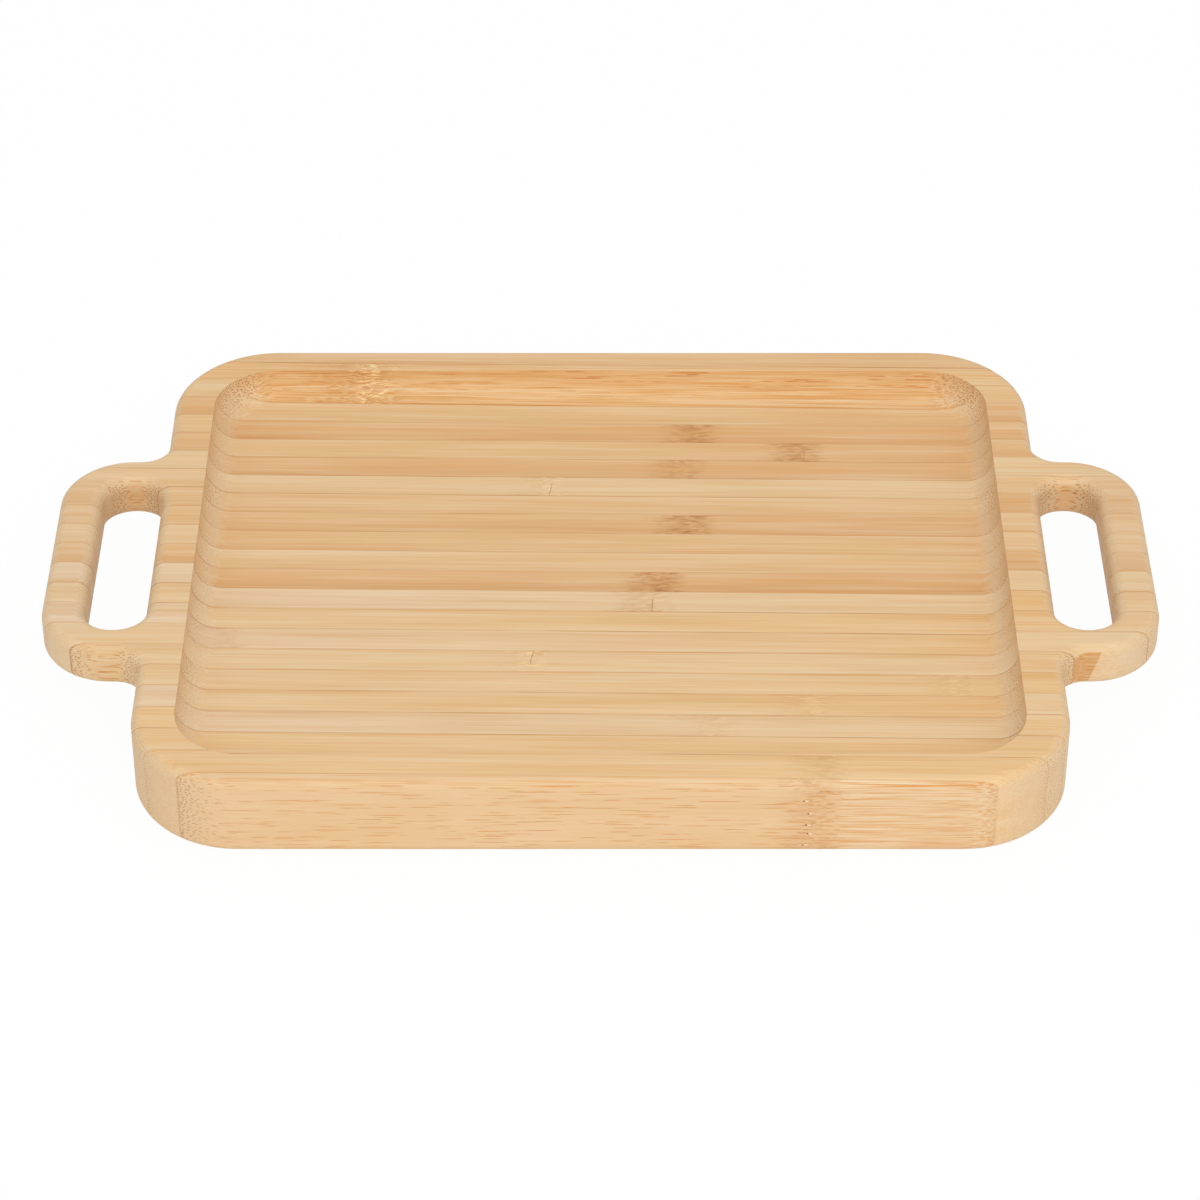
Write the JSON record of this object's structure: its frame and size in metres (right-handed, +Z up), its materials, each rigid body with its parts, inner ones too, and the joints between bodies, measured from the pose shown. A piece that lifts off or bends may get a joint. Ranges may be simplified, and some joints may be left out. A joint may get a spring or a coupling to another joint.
{
  "type": "serving tray",
  "caption": "Small bamboo serving tray of glued upright strips, with a coved rectangular pocket and a flush loop handle with a finger slot at each end.",
  "frame": {"origin": "middle of the flat underside, on the table", "axes": "+X along the length towards the right handle, +Y from the front edge to the back edge, +Z up"},
  "size_m": [0.2502, 0.164, 0.02],
  "materials": {
    "bamboo": "sanded and oiled",
    "pale_bamboo": "sanded and oiled",
    "honey_bamboo": "sanded and oiled"
  },
  "bodies": {
    "root": {"strip_01": "bamboo", "strip_02": "bamboo", "strip_03": "bamboo", "strip_04": "bamboo", "strip_05": "pale_bamboo", "strip_06": "bamboo", "strip_07": "bamboo", "strip_08": "bamboo", "strip_09": "bamboo", "strip_10": "bamboo", "strip_11": "pale_bamboo", "strip_12": "honey_bamboo", "strip_13": "bamboo", "strip_14": "bamboo", "strip_15": "honey_bamboo", "strip_16": "bamboo", "strip_17": "pale_bamboo", "strip_18": "honey_bamboo", "strip_19": "bamboo", "strip_20": "honey_bamboo", "strip_21": "bamboo", "strip_22": "bamboo", "strip_23": "bamboo", "left_grip_09": "bamboo", "left_grip_10": "bamboo", "left_grip_11": "pale_bamboo", "left_grip_12": "honey_bamboo", "left_grip_13": "bamboo", "left_grip_14": "bamboo", "left_grip_15": "honey_bamboo", "right_grip_10": "bamboo", "right_grip_11": "pale_bamboo", "right_grip_12": "honey_bamboo", "right_grip_13": "bamboo", "right_grip_14": "bamboo", "right_grip_15": "honey_bamboo"}
  },
  "joints": []
}
